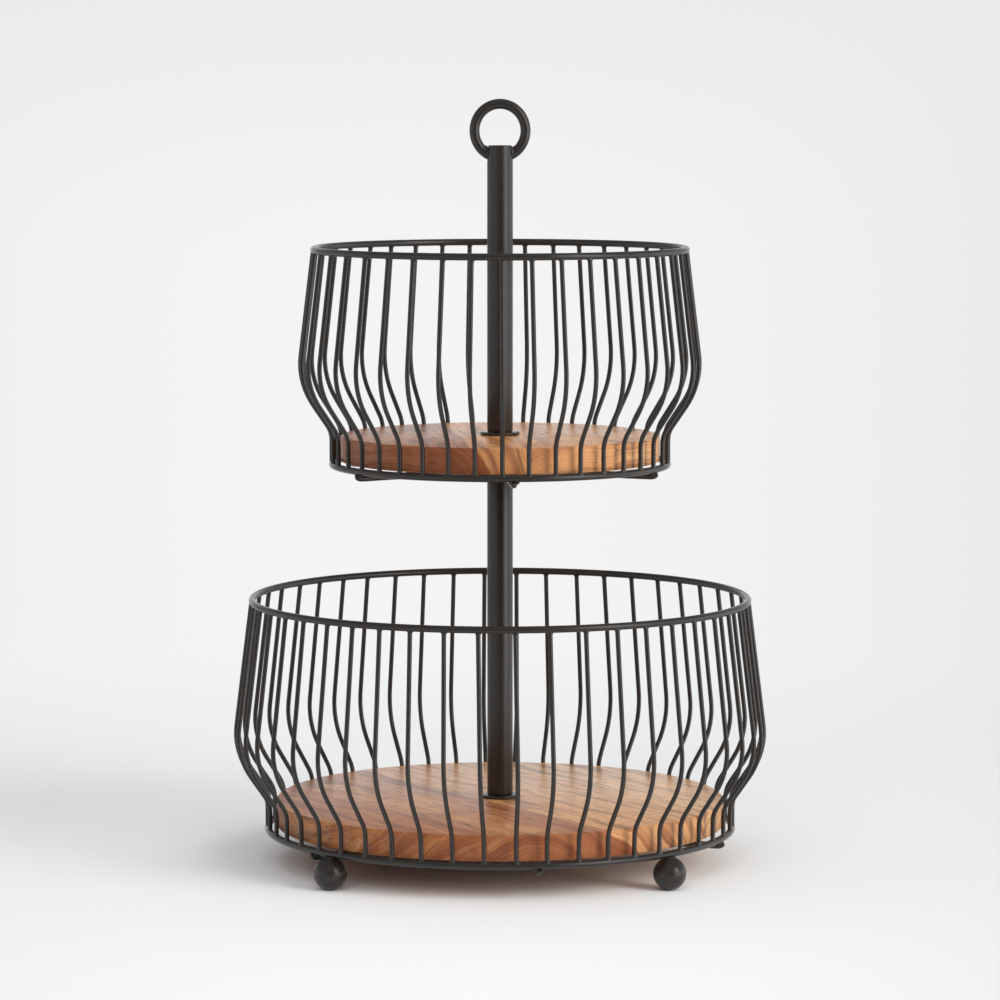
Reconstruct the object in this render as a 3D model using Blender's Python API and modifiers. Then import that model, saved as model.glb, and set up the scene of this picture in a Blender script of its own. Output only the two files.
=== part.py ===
"""Two-tier fruit basket, in metres, +Z up, standing on the floor at z = 0.

Two bulged wire baskets stand one above the other on a central tube. Each basket has
a base ring with upright wires welded round it and a rim ring on their upper ends.
Six arms under the base ring run to a hub plate and carry a support ring, and a wood
disc lies on both. A washer and the end of a tube clamp each disc to its hub plate.
Four ball feet hold the lower base ring, and a ring handle sits in the slotted top end.
"""
import math
from dataclasses import dataclass

import bmesh
import bpy
from mathutils import Matrix, Vector

# Clearances
SEAT_GAP = 0.0003
BORE_GAP = 0.0003
CUT_OVERRUN = 0.004

# Round stock
RING_WIRE = 0.0045
CAGE_WIRE = 0.0030
ARM_WIRE = 0.0050
WIRE_INSET = 0.00035
ARM_PROUD = 0.0005

# Lower basket, with radii to wire centres and heights above its base ring
LOWER_WIRE_COUNT = 48
LOWER_WIRE_TURN = math.radians(3.75)
LOWER_ARM_TURN = math.radians(9.2)
LOWER_BASE_RADIUS = 0.1724
LOWER_RIM_RADIUS = 0.1836
LOWER_BELLY_RADIUS = 0.1979
LOWER_HEIGHT = 0.1698
LOWER_BELLY_HEIGHT = 0.0578
LOWER_BEND_HEIGHT = 0.0216

# Upper basket, measured the same way
UPPER_WIRE_COUNT = 40
UPPER_WIRE_TURN = math.radians(0.7)
UPPER_ARM_TURN = math.radians(4.6)
UPPER_BASE_RADIUS = 0.1239
UPPER_RIM_RADIUS = 0.1371
UPPER_BELLY_RADIUS = 0.1493
UPPER_HEIGHT = 0.1582
UPPER_BELLY_HEIGHT = 0.0602
UPPER_BEND_HEIGHT = 0.0235

# Bends of the upright wires
BELLY_BEND_RADIUS = 0.060
BASE_BEND_RADIUS = 0.020

# Wood discs and what carries them
DISC_THICKNESS = 0.019
DISC_SIDE_GAP = 0.0040
DISC_EDGE = 0.0010
HUB_DIAMETER = 0.044
ARM_COUNT = 6
SUPPORT_RADIUS_SHARE = 0.6

# Central tubes and washers
TUBE_DIAMETER = 0.019
TUBE_WALL = 0.0015
TUBE_EDGE = 0.0004
LOWER_TUBE_LENGTH = 0.2445
UPPER_TUBE_LENGTH = 0.2105
ARM_TUBE_GAP = 0.002
WASHER_DIAMETER = 0.029
WASHER_THICKNESS = 0.0020

# Threaded joints
THREAD_DIAMETER = 0.008
INSERT_LENGTH = 0.014
INSERT_RECESS = 0.0005
THREAD_END_GAP = 0.002
DISC_HOLE_GAP = 0.001
BOLT_HEAD_ACROSS = 0.013
BOLT_HEAD_HEIGHT = 0.0053
BASE_WASHER_DIAMETER = 0.016
BASE_WASHER_THICKNESS = 0.0016

# Ring handle and its slot
HANDLE_WIRE = 0.0075
HANDLE_WIDTH = 0.045
HANDLE_HEIGHT = 0.0467
HANDLE_RISE = 0.0108

# Ball feet
FOOT_DIAMETER = 0.024
FOOT_TURNS = {
    "front_left": math.radians(-45),
    "front_right": math.radians(45),
    "rear_right": math.radians(135),
    "rear_left": math.radians(-135),
}

# Facets
RING_SIDES = 6
BAR_BEVEL_SEGMENTS = 1
HANDLE_BEVEL_SEGMENTS = 2
HANDLE_POINTS = 28
TUBE_SIDES = 20
DISC_SIDES = 48
SMALL_SIDES = 16
HEAD_SIDES = 6
SUPPORT_SEGMENTS = 24
BALL_SEGMENTS = 16
BALL_RINGS = 8
BELLY_PIECES = 2
BEND_PIECES = 1
ARC_ROOM_SHARE = 0.45
SMOOTH_ANGLE = math.radians(40)
MERGE_DISTANCE = 0.00001

# Levels up the stack, worked out from the sizes above
RING_HALF = RING_WIRE / 2
LOWER_LEVEL = FOOT_DIAMETER + RING_HALF
DISC_FLOOR = RING_HALF
DISC_TOP = DISC_FLOOR + DISC_THICKNESS
TUBE_SEAT = DISC_TOP + WASHER_THICKNESS + 2 * SEAT_GAP
LOWER_TUBE_FLOOR = LOWER_LEVEL + TUBE_SEAT
UPPER_LEVEL = LOWER_TUBE_FLOOR + LOWER_TUBE_LENGTH + RING_HALF
UPPER_TUBE_FLOOR = UPPER_LEVEL + TUBE_SEAT
UPPER_TUBE_END = UPPER_TUBE_FLOOR + UPPER_TUBE_LENGTH
HANDLE_LEVEL = UPPER_TUBE_END + HANDLE_RISE
TUBE_BORE = TUBE_DIAMETER - 2 * TUBE_WALL
THREAD_HOLE = THREAD_DIAMETER + 2 * BORE_GAP
DISC_HOLE = THREAD_DIAMETER + 2 * DISC_HOLE_GAP


@dataclass
class Tier:
    """The sizes of one basket. Its level is the height of the base ring's centre."""
    name: str
    level: float
    wire_count: int
    wire_turn: float
    arm_turn: float
    base_radius: float
    rim_radius: float
    belly_radius: float
    height: float
    belly_height: float
    bend_height: float


LOWER = Tier("lower", LOWER_LEVEL, LOWER_WIRE_COUNT, LOWER_WIRE_TURN, LOWER_ARM_TURN,
             LOWER_BASE_RADIUS, LOWER_RIM_RADIUS, LOWER_BELLY_RADIUS,
             LOWER_HEIGHT, LOWER_BELLY_HEIGHT, LOWER_BEND_HEIGHT)
UPPER = Tier("upper", UPPER_LEVEL, UPPER_WIRE_COUNT, UPPER_WIRE_TURN, UPPER_ARM_TURN,
             UPPER_BASE_RADIUS, UPPER_RIM_RADIUS, UPPER_BELLY_RADIUS,
             UPPER_HEIGHT, UPPER_BELLY_HEIGHT, UPPER_BEND_HEIGHT)


def clear_scene():
    """Remove whatever the file opened with."""
    for thing in list(bpy.data.objects):
        bpy.data.objects.remove(thing, do_unlink=True)


def new_collection(name):
    """Add a collection to the scene."""
    collection = bpy.data.collections.new(name)
    bpy.context.scene.collection.children.link(collection)
    return collection


def new_material(name, colour, roughness, metallic):
    """Make a plain Principled material."""
    material = bpy.data.materials.new(name)
    material.use_nodes = True
    shader = material.node_tree.nodes["Principled BSDF"]
    shader.inputs["Base Color"].default_value = (*colour, 1)
    shader.inputs["Roughness"].default_value = roughness
    shader.inputs["Metallic"].default_value = metallic
    return material


clear_scene()
PARTS = new_collection("two_tier_fruit_basket")
CUTTERS = new_collection("cutters")
BLACK_PAINT = new_material("black_powder_coat", (0.035, 0.034, 0.034), 0.42, 0.0)
ACACIA = new_material("oiled_acacia", (0.45, 0.20, 0.075), 0.5, 0.0)
ZINC = new_material("zinc_plated_steel", (0.62, 0.63, 0.64), 0.35, 1.0)


def move_to(collection, thing):
    """Keep an object in one collection only."""
    for holder in list(thing.users_collection):
        holder.objects.unlink(thing)
    collection.objects.link(thing)


def finish(thing, name, material, parent=None):
    """Name a piece, give it its material and smooth shading, and file it."""
    thing.name = name
    thing.data.name = name
    thing.data.materials.clear()
    thing.data.materials.append(material)
    thing.data.shade_smooth()
    thing.data.set_sharp_from_angle(angle=SMOOTH_ANGLE)
    thing.parent = parent
    move_to(PARTS, thing)
    return thing


def keep_as_cutter(thing, name, parent=None):
    """File an object as a Boolean operand that isn't a piece itself."""
    thing.name = name
    thing.parent = parent
    thing.hide_render = True
    thing.display_type = "WIRE"
    move_to(CUTTERS, thing)
    return thing


def combine(thing, other, operation):
    """Join another object to this one, or cut it away."""
    modifier = thing.modifiers.new(operation.lower(), "BOOLEAN")
    modifier.operation = operation
    modifier.solver = "EXACT"
    modifier.object = other


def direction(turn, radius=1.0):
    """A level vector, turned from the front towards the right."""
    return Vector((math.sin(turn), -math.cos(turn), 0)) * radius


def torus(radius, wire, segments, sides, turn=0.0):
    """A ring of round wire with its first segment joint at the given turn."""
    bpy.ops.mesh.primitive_torus_add(
        major_segments=segments, minor_segments=sides,
        major_radius=radius, minor_radius=wire / 2)
    ring = bpy.context.object
    ring.data.transform(Matrix.Rotation(turn - math.pi / 2, 4, "Z"))
    return ring


def cylinder(diameter, length, sides, location, rotation=(0, 0, 0)):
    """A plain cylinder about its own centre."""
    bpy.ops.mesh.primitive_cylinder_add(
        vertices=sides, radius=diameter / 2, depth=length, location=location, rotation=rotation)
    return bpy.context.object


def turned(outline, sides, level):
    """Turn a closed outline of (radius, height) points about the vertical axis.

    The outline runs down its outer side and up its bore.
    """
    mesh = bpy.data.meshes.new("outline")
    points = [(radius, 0, height) for radius, height in outline]
    edges = [(index, (index + 1) % len(points)) for index in range(len(points))]
    mesh.from_pydata(points, edges, [])
    thing = bpy.data.objects.new("outline", mesh)
    bpy.context.scene.collection.objects.link(thing)
    thing.location.z = level
    screw = thing.modifiers.new("turn", "SCREW")
    screw.axis = "Z"
    screw.angle = math.tau
    screw.steps = sides
    screw.render_steps = sides
    screw.use_merge_vertices = True
    screw.merge_threshold = MERGE_DISTANCE
    screw.use_smooth_shade = False
    return thing


def washer_outline(diameter, hole, thickness, edge=0.0):
    """The section of a flat round plate with a hole, its outer edges eased."""
    outer = diameter / 2
    bore = hole / 2
    if not edge:
        return [(outer, thickness), (outer, 0), (bore, 0), (bore, thickness)]
    return [(outer - edge, thickness), (outer, thickness - edge), (outer, edge),
            (outer - edge, 0), (bore, 0), (bore, thickness)]


def bars(runs, diameter, bevel_segments, cyclic=False):
    """Round bars along runs of points, as one mesh with closed ends."""
    curve = bpy.data.curves.new("bars", "CURVE")
    curve.dimensions = "3D"
    curve.bevel_depth = diameter / 2
    curve.bevel_resolution = bevel_segments
    curve.use_fill_caps = not cyclic
    for run in runs:
        spline = curve.splines.new("POLY")
        spline.points.add(len(run) - 1)
        spline.use_cyclic_u = cyclic
        for point, place in zip(spline.points, run):
            point.co = (*place, 1)
    guide = bpy.data.objects.new("bars", curve)
    bpy.context.scene.collection.objects.link(guide)
    bpy.context.view_layer.update()
    evaluated = guide.evaluated_get(bpy.context.evaluated_depsgraph_get())
    mesh = bpy.data.meshes.new_from_object(evaluated)
    mesh.materials.clear()
    weld = bmesh.new()
    weld.from_mesh(mesh)
    bmesh.ops.remove_doubles(weld, verts=weld.verts, dist=MERGE_DISTANCE)
    bmesh.ops.recalc_face_normals(weld, faces=weld.faces)
    weld.to_mesh(mesh)
    weld.free()
    solid = bpy.data.objects.new("bars", mesh)
    solid.matrix_world = guide.matrix_world
    bpy.context.scene.collection.objects.link(solid)
    bpy.data.objects.remove(guide)
    return solid


def rounded_corner(before, corner, after, bend_radius, pieces):
    """Points of the arc that rounds a corner, no longer than its runs allow."""
    back = (before - corner).normalized()
    onward = (after - corner).normalized()
    half_angle = back.angle(onward) / 2
    room = min((before - corner).length, (after - corner).length) * ARC_ROOM_SHARE
    tangent = min(bend_radius / math.tan(half_angle), room)
    radius = tangent * math.tan(half_angle)
    centre = corner + (back + onward).normalized() * (radius / math.sin(half_angle))
    spoke = corner + back * tangent - centre
    turn = math.copysign(math.pi - 2 * half_angle, back.x * onward.y - back.y * onward.x)
    points = []
    for index in range(pieces + 1):
        angle = -turn * index / pieces
        points.append(centre + Matrix.Rotation(angle, 2) @ spoke)
    return points


def bulged_profile(tier):
    """The (radius, height) points of one upright wire, from base ring to rim."""
    offset = (RING_WIRE - CAGE_WIRE) / 2 - WIRE_INSET
    foot = Vector((tier.base_radius + offset, SEAT_GAP))
    bend = Vector((tier.base_radius + offset, tier.bend_height))
    belly = Vector((tier.belly_radius, tier.belly_height))
    top = Vector((tier.rim_radius + offset, tier.height - RING_HALF - SEAT_GAP))
    points = [foot]
    points += rounded_corner(foot, bend, belly, BASE_BEND_RADIUS, BEND_PIECES)
    points += rounded_corner(bend, belly, top, BELLY_BEND_RADIUS, BELLY_PIECES)
    points.append(top)
    return points


def wire_cage(tier, frame):
    """The base ring with its bulged upright wires welded round it."""
    profile = bulged_profile(tier)
    pitch = math.tau / tier.wire_count
    runs = []
    for index in range(tier.wire_count):
        outward = direction(tier.wire_turn + index * pitch)
        runs.append([outward * point.x + Vector((0, 0, point.y)) for point in profile])
    uprights = bars(runs, CAGE_WIRE, BAR_BEVEL_SEGMENTS)
    keep_as_cutter(uprights, f"{tier.name}_cage_uprights", frame)
    ring = torus(tier.base_radius, RING_WIRE, tier.wire_count, RING_SIDES, tier.wire_turn)
    combine(ring, uprights, "UNION")
    return finish(ring, f"{tier.name}_wire_cage", BLACK_PAINT, frame)


def rim_ring(tier, frame):
    """The ring that closes the wires' upper ends."""
    ring = torus(tier.rim_radius, RING_WIRE, tier.wire_count, RING_SIDES, tier.wire_turn)
    ring.location.z = tier.height
    return finish(ring, f"{tier.name}_rim_ring", BLACK_PAINT, frame)


def support_ring(tier, frame):
    """The inner ring on the arms, level with the base ring, that the disc lies on."""
    radius = tier.base_radius * SUPPORT_RADIUS_SHARE
    ring = torus(radius, RING_WIRE, SUPPORT_SEGMENTS, RING_SIDES)
    return finish(ring, f"{tier.name}_support_ring", BLACK_PAINT, frame)


def support_arms(tier, frame):
    """Six rods under the base ring, from just past it in to the hub plate."""
    inner = TUBE_DIAMETER / 2 + ARM_TUBE_GAP
    outer = tier.base_radius + RING_HALF + ARM_PROUD
    drop = Vector((0, 0, -RING_HALF - ARM_WIRE / 2))
    for index in range(ARM_COUNT):
        turn = tier.arm_turn + index * math.tau / ARM_COUNT
        run = [direction(turn, inner) + drop, direction(turn, outer) + drop]
        arm = bars([run], ARM_WIRE, BAR_BEVEL_SEGMENTS)
        finish(arm, f"{tier.name}_arm_{index + 1}", BLACK_PAINT, frame)


def hub_plate(tier, frame):
    """The round plate that the arms end under and the threads pass through."""
    thickness = RING_WIRE - 2 * SEAT_GAP
    outline = washer_outline(HUB_DIAMETER, THREAD_HOLE, thickness)
    plate = turned(outline, SMALL_SIDES, -thickness / 2)
    return finish(plate, f"{tier.name}_hub_plate", BLACK_PAINT, frame)


def wood_disc(tier, frame):
    """The wood floor, inside the base ring, with eased edges and a centre hole."""
    radius = tier.base_radius - RING_HALF - DISC_SIDE_GAP
    outline = washer_outline(2 * radius, DISC_HOLE, DISC_THICKNESS, DISC_EDGE)
    disc = turned(outline, DISC_SIDES, DISC_FLOOR)
    return finish(disc, f"{tier.name}_wood_disc", ACACIA, frame)


def disc_washer(tier, frame):
    """The black washer between the disc and the end of the tube."""
    outline = washer_outline(WASHER_DIAMETER, THREAD_HOLE, WASHER_THICKNESS)
    washer = turned(outline, SMALL_SIDES, DISC_TOP + SEAT_GAP)
    return finish(washer, f"{tier.name}_disc_washer", BLACK_PAINT, frame)


def build_tier(tier):
    """One basket with its floor, about an empty at its base ring's centre."""
    frame = bpy.data.objects.new(f"{tier.name}_tier", None)
    PARTS.objects.link(frame)
    frame.location.z = tier.level
    wire_cage(tier, frame)
    rim_ring(tier, frame)
    support_ring(tier, frame)
    support_arms(tier, frame)
    hub_plate(tier, frame)
    wood_disc(tier, frame)
    disc_washer(tier, frame)


def tube(length, level):
    """A length of round tube with eased outer ends."""
    outer = TUBE_DIAMETER / 2
    bore = TUBE_BORE / 2
    outline = [(outer - TUBE_EDGE, length), (outer, length - TUBE_EDGE), (outer, TUBE_EDGE),
               (outer - TUBE_EDGE, 0), (bore, 0), (bore, length)]
    return turned(outline, TUBE_SIDES, level)


def tube_insert(name, level):
    """A threaded plug that lies inside the end of a tube."""
    outline = washer_outline(TUBE_BORE - 2 * BORE_GAP, THREAD_HOLE, INSERT_LENGTH)
    return finish(turned(outline, SMALL_SIDES, level), name, ZINC)


def build_lower_tube():
    """The tube between the baskets with a plug in each end."""
    finish(tube(LOWER_TUBE_LENGTH, LOWER_TUBE_FLOOR), "lower_tube", BLACK_PAINT)
    tube_insert("lower_tube_bottom_insert", LOWER_TUBE_FLOOR + INSERT_RECESS)
    top = LOWER_TUBE_FLOOR + LOWER_TUBE_LENGTH - INSERT_RECESS
    tube_insert("lower_tube_top_insert", top - INSERT_LENGTH)


def handle_underside(across):
    """How far the handle's lower side hangs below its centre, this far off the axis."""
    half_width = (HANDLE_WIDTH - HANDLE_WIRE) / 2
    half_height = (HANDLE_HEIGHT - HANDLE_WIRE) / 2
    share = math.sqrt(1 - (across / half_width) ** 2)
    slope = half_height / half_width * (across / half_width) / share
    return half_height * share + HANDLE_WIRE / 2 * math.hypot(1, slope)


def build_upper_tube():
    """The tube above the upper basket, its top end slotted for the ring handle."""
    upper = tube(UPPER_TUBE_LENGTH, UPPER_TUBE_FLOOR)
    slot_width = HANDLE_WIRE + 2 * SEAT_GAP
    slot_floor = HANDLE_LEVEL - handle_underside(TUBE_BORE / 2) - SEAT_GAP
    slot_top = UPPER_TUBE_END + CUT_OVERRUN
    reach = TUBE_DIAMETER + 2 * CUT_OVERRUN
    arch = slot_floor + slot_width / 2
    bpy.ops.mesh.primitive_cube_add(location=(0, 0, (arch + slot_top) / 2))
    slot = bpy.context.object
    slot.scale = (reach / 2, slot_width / 2, (slot_top - arch) / 2)
    rounding = cylinder(slot_width, reach, SMALL_SIDES, (0, 0, arch), (0, math.pi / 2, 0))
    combine(upper, keep_as_cutter(slot, "handle_slot"), "DIFFERENCE")
    combine(upper, keep_as_cutter(rounding, "handle_slot_round"), "DIFFERENCE")
    finish(upper, "upper_tube", BLACK_PAINT)
    tube_insert("upper_tube_insert", UPPER_TUBE_FLOOR + INSERT_RECESS)


def ring_handle():
    """The upright ring whose lower part lies in the tube's slots."""
    half_width = (HANDLE_WIDTH - HANDLE_WIRE) / 2
    half_height = (HANDLE_HEIGHT - HANDLE_WIRE) / 2
    run = []
    for index in range(HANDLE_POINTS):
        angle = math.tau * index / HANDLE_POINTS
        across = half_width * math.cos(angle)
        height = half_height * math.sin(angle)
        run.append(Vector((across, 0, HANDLE_LEVEL + height)))
    ring = bars([run], HANDLE_WIRE, HANDLE_BEVEL_SEGMENTS, cyclic=True)
    return finish(ring, "ring_handle", BLACK_PAINT)


def tier_stud():
    """The threaded rod that joins both tubes through the upper disc and hub plate."""
    bottom = UPPER_LEVEL - RING_HALF - INSERT_RECESS - INSERT_LENGTH + THREAD_END_GAP
    top = UPPER_TUBE_FLOOR + INSERT_RECESS + INSERT_LENGTH - THREAD_END_GAP
    stud = cylinder(THREAD_DIAMETER, top - bottom, SMALL_SIDES, (0, 0, (top + bottom) / 2))
    return finish(stud, "tier_stud", ZINC)


def base_bolt():
    """The hexagon bolt that holds the lower tube, disc and hub plate from below."""
    washer_top = LOWER_LEVEL - RING_HALF
    outline = washer_outline(BASE_WASHER_DIAMETER, THREAD_HOLE, BASE_WASHER_THICKNESS)
    washer = turned(outline, SMALL_SIDES, washer_top - BASE_WASHER_THICKNESS)
    finish(washer, "base_washer", ZINC)
    head_top = washer_top - BASE_WASHER_THICKNESS - SEAT_GAP
    across_corners = BOLT_HEAD_ACROSS / math.cos(math.pi / HEAD_SIDES)
    bottom = head_top - BOLT_HEAD_HEIGHT / 2
    head = cylinder(across_corners, BOLT_HEAD_HEIGHT, HEAD_SIDES, (0, 0, bottom))
    top = LOWER_TUBE_FLOOR + INSERT_RECESS + INSERT_LENGTH - THREAD_END_GAP
    shank = cylinder(THREAD_DIAMETER, top - bottom, SMALL_SIDES, (0, 0, (top + bottom) / 2))
    combine(head, keep_as_cutter(shank, "base_bolt_shank"), "UNION")
    return finish(head, "base_bolt", ZINC)


def ball_feet():
    """Four balls under the lower base ring."""
    for place, turn in FOOT_TURNS.items():
        centre = direction(turn, LOWER_BASE_RADIUS) + Vector((0, 0, FOOT_DIAMETER / 2))
        bpy.ops.mesh.primitive_uv_sphere_add(
            segments=BALL_SEGMENTS, ring_count=BALL_RINGS, radius=FOOT_DIAMETER / 2,
            location=centre)
        finish(bpy.context.object, f"foot_{place}", BLACK_PAINT)


def main():
    build_tier(LOWER)
    build_tier(UPPER)
    build_lower_tube()
    build_upper_tube()
    ring_handle()
    tier_stud()
    base_bolt()
    ball_feet()
    print(len([thing for thing in PARTS.objects if thing.type == "MESH"]), "pieces")


main()
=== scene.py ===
# %% [markdown]
# # A two-tier fruit basket in steel and acacia
# Two bulged wire cages stand one above the other on a central pole. Each cage is a ring of
# thick wire with thinner upright wires welded round it, and a second ring on top. A round
# acacia board lies inside each base ring. A ring handle closes the pole, and four balls carry
# the whole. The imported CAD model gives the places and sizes; this notebook makes the finer
# shapes, the finishes, the light and the camera.

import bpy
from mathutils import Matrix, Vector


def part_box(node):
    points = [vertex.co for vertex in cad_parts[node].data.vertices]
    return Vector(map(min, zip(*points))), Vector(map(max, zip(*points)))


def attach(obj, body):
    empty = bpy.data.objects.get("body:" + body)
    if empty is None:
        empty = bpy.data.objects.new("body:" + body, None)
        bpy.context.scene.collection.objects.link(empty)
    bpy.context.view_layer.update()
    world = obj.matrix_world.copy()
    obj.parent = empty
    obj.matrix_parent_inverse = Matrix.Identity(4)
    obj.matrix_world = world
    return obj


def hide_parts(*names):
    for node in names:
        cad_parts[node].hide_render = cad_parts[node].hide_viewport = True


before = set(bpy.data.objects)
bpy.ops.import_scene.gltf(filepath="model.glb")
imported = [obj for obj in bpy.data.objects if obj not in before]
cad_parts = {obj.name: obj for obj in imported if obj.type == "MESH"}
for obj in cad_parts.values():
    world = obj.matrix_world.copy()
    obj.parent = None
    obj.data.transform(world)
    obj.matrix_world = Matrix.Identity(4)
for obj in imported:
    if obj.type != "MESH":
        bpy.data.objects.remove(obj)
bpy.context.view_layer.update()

# %% [markdown]
# ## Working by hand, in code
# Every piece starts as a primitive and is shaped in edit mode, as it would be with the mouse.
# Edit mode works on all that is selected, so a few helpers keep the selection plain.

# %% Imports, selecting and editing
import math
import random

import bmesh
import bpy
from mathutils import Matrix, Vector

WELD_DISTANCE = 0.00001
SMOOTH_ANGLE = math.radians(35)


def clear_selection():
    """Deselect every object."""
    bpy.ops.object.select_all(action="DESELECT")


def select_only(piece):
    """Select one piece and make it the active one."""
    clear_selection()
    piece.select_set(True)
    bpy.context.view_layer.objects.active = piece


def start_edit(piece):
    """Enter edit mode on one piece with all of it selected."""
    select_only(piece)
    bpy.ops.object.mode_set(mode="EDIT")
    bpy.ops.mesh.select_all(action="SELECT")


def stop_edit():
    """Close any seam, turn the faces outwards and leave edit mode."""
    bpy.ops.mesh.select_all(action="SELECT")
    bpy.ops.mesh.remove_doubles(threshold=WELD_DISTANCE)
    bpy.ops.mesh.normals_make_consistent(inside=False)
    bpy.ops.object.mode_set(mode="OBJECT")


def select_where(test, kind="VERT"):
    """In edit mode, select the points, edges or faces that pass a test."""
    bpy.ops.mesh.select_mode(type=kind)
    bpy.ops.mesh.select_all(action="DESELECT")
    mesh = bpy.context.object.data
    shape = bmesh.from_edit_mesh(mesh)
    group = {"VERT": shape.verts, "EDGE": shape.edges, "FACE": shape.faces}[kind]
    for item in group:
        if test(item):
            item.select_set(True)
    bmesh.update_edit_mesh(mesh)


def apply_place():
    """Put the active object's place, turn and size into its mesh."""
    bpy.ops.object.transform_apply(location=True, rotation=True, scale=True)


def cut_with(piece, cutter, operation):
    """Apply a Boolean between a piece and a cutter, which is removed afterwards."""
    boolean = piece.modifiers.new("boolean", "BOOLEAN")
    boolean.operation = operation
    boolean.solver = "EXACT"
    boolean.object = cutter
    select_only(piece)
    bpy.ops.object.modifier_apply(modifier=boolean.name)
    bpy.data.objects.remove(cutter)


def join(pieces):
    """Join pieces into the first one."""
    clear_selection()
    for piece in pieces:
        piece.select_set(True)
    bpy.context.view_layer.objects.active = pieces[0]
    if len(pieces) > 1:
        bpy.ops.object.join()
    return pieces[0]


# %% [markdown]
# ## Shader maths as plain expressions
# A node tree for a finish is mostly arithmetic on masks. A small class wraps a socket, so
# that `1 - mask * 0.3` adds the Math nodes by itself.

# %% A socket that takes operators
class Value:
    """One shader socket, with the operators that the finishes use."""

    def __init__(self, finish, socket):
        self.finish = finish
        self.socket = socket

    def maths(self, operation, first, second):
        """Put two values through a Math node."""
        return self.finish.node("Math", {"operation": operation}, {0: first, 1: second})

    def __add__(self, other):
        return self.maths("ADD", self, other)

    def __radd__(self, other):
        return self.maths("ADD", other, self)

    def __sub__(self, other):
        return self.maths("SUBTRACT", self, other)

    def __rsub__(self, other):
        return self.maths("SUBTRACT", other, self)

    def __mul__(self, other):
        return self.maths("MULTIPLY", self, other)

    def __rmul__(self, other):
        return self.maths("MULTIPLY", other, self)

    def __truediv__(self, other):
        return self.maths("DIVIDE", self, other)

    def __pow__(self, other):
        return self.maths("POWER", self, other)


# %% A finish under construction
class Finish:
    """A material whose nodes are added one call at a time."""

    def __init__(self, name):
        self.material = bpy.data.materials.new(name)
        self.material.use_nodes = True
        self.tree = self.material.node_tree
        self.shader = self.tree.nodes["Principled BSDF"]
        self.output = self.tree.nodes["Material Output"]

    def feed(self, socket, source):
        """Link a socket or set its number, colour or vector."""
        if isinstance(source, Value):
            self.tree.links.new(source.socket, socket)
        else:
            socket.default_value = source

    def node(self, kind, settings=None, sources=None, out=0):
        """Add a node, set it up, feed its sockets and hand back one output."""
        node = self.tree.nodes.new("ShaderNode" + kind)
        for name, value in (settings or {}).items():
            if name == "stops":
                self.set_stops(node.color_ramp.elements, value)
            elif name == "interpolation" and kind == "ValToRGB":
                node.color_ramp.interpolation = value
            else:
                setattr(node, name, value)
        for name, source in (sources or {}).items():
            self.feed(node.inputs[name], source)
        return Value(self, node.outputs[out])

    def parts(self, kind, source):
        """Split a vector or a colour into its three parts."""
        first = self.node(kind, {}, {0: source})
        return [Value(self, output) for output in first.socket.node.outputs[:3]]

    def set_stops(self, elements, stops):
        """Give a ramp its (place, colour) stops."""
        while len(elements) > 1:
            elements.remove(elements[-1])
        elements[0].position = stops[0][0]
        elements[0].color = stops[0][1]
        for place, colour in stops[1:]:
            elements.new(place).color = colour

    def place(self):
        """Object coordinates, in metres."""
        return self.node("TexCoord", out="Object")

    def stretched(self, place, scale):
        """Coordinates times a scale for each axis."""
        return self.node("Mapping", {}, {"Vector": place, "Scale": scale})

    def noise(self, place, scale=1.0, detail=3.0, roughness=0.5):
        """Soft noise from 0 to 1."""
        return self.node("TexNoise", {}, {"Vector": place, "Scale": scale, "Detail": detail,
                                          "Roughness": roughness})

    def between(self, value, low, high):
        """0 below one value, 1 above another, smooth between."""
        return self.node("MapRange", {"interpolation_type": "SMOOTHSTEP"},
                         {"Value": value, "From Min": low, "From Max": high})

    def mix(self, factor, first, second, blend="MIX"):
        """Mix two colours."""
        return self.node("Mix", {"data_type": "RGBA", "blend_type": blend},
                         {0: factor, 6: first, 7: second}, out=2)

    def bump(self, height, depth):
        """Feed a height from 0 to 1 to the shader's normal, its depth being in metres."""
        normal = self.node("Bump", {}, {"Height": height, "Distance": depth})
        self.feed(self.shader.inputs["Normal"], normal)

    def set(self, **values):
        """Set or link the shader's own sockets, such as base_color or specular_ior_level."""
        for name, source in values.items():
            socket = name.replace("_", " ").title().replace("Ior", "IOR")
            self.feed(self.shader.inputs[socket], source)


# %% [markdown]
# ## Black powder coat
# The steel is shot-blasted and coated with a fine satin powder that melts into a skin. It is
# almost black, with a faint warm cast, a soft broad gloss and the slight orange peel that
# every powder coat has. Colour barely changes over it, so the peel and the roughness carry
# the finish.

# %% Powder coat
COAT_DARK = (0.0124, 0.0101, 0.0084, 1)
COAT_LIGHT = (0.0186, 0.0155, 0.0134, 1)
PEEL_DEPTH = 0.000004


def powder_coat():
    """Satin near-black, its gloss a little uneven."""
    coat = Finish("satin_powder_coat")
    place = coat.place()
    peel = coat.noise(place, scale=700, detail=1.0)
    cloud = coat.noise(place, scale=38)
    coat.set(base_color=coat.mix(cloud, COAT_DARK, COAT_LIGHT),
             roughness=cloud * 0.10 + peel * 0.04 + 0.22)
    coat.bump(peel, PEEL_DEPTH)
    return coat.material


COAT = powder_coat()

# %% [markdown]
# ## Zinc plate
# The bolt and its washer below, and the threaded pieces inside the pole, are bright zinc on
# steel: a bluish grey metal with faint clouding.

# %% Zinc plate
ZINC_DARK = (0.50, 0.52, 0.55, 1)
ZINC_LIGHT = (0.66, 0.67, 0.69, 1)
MARK_SCALES = (900, 900, 4200)
MARK_DEPTH = 0.00002


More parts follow.
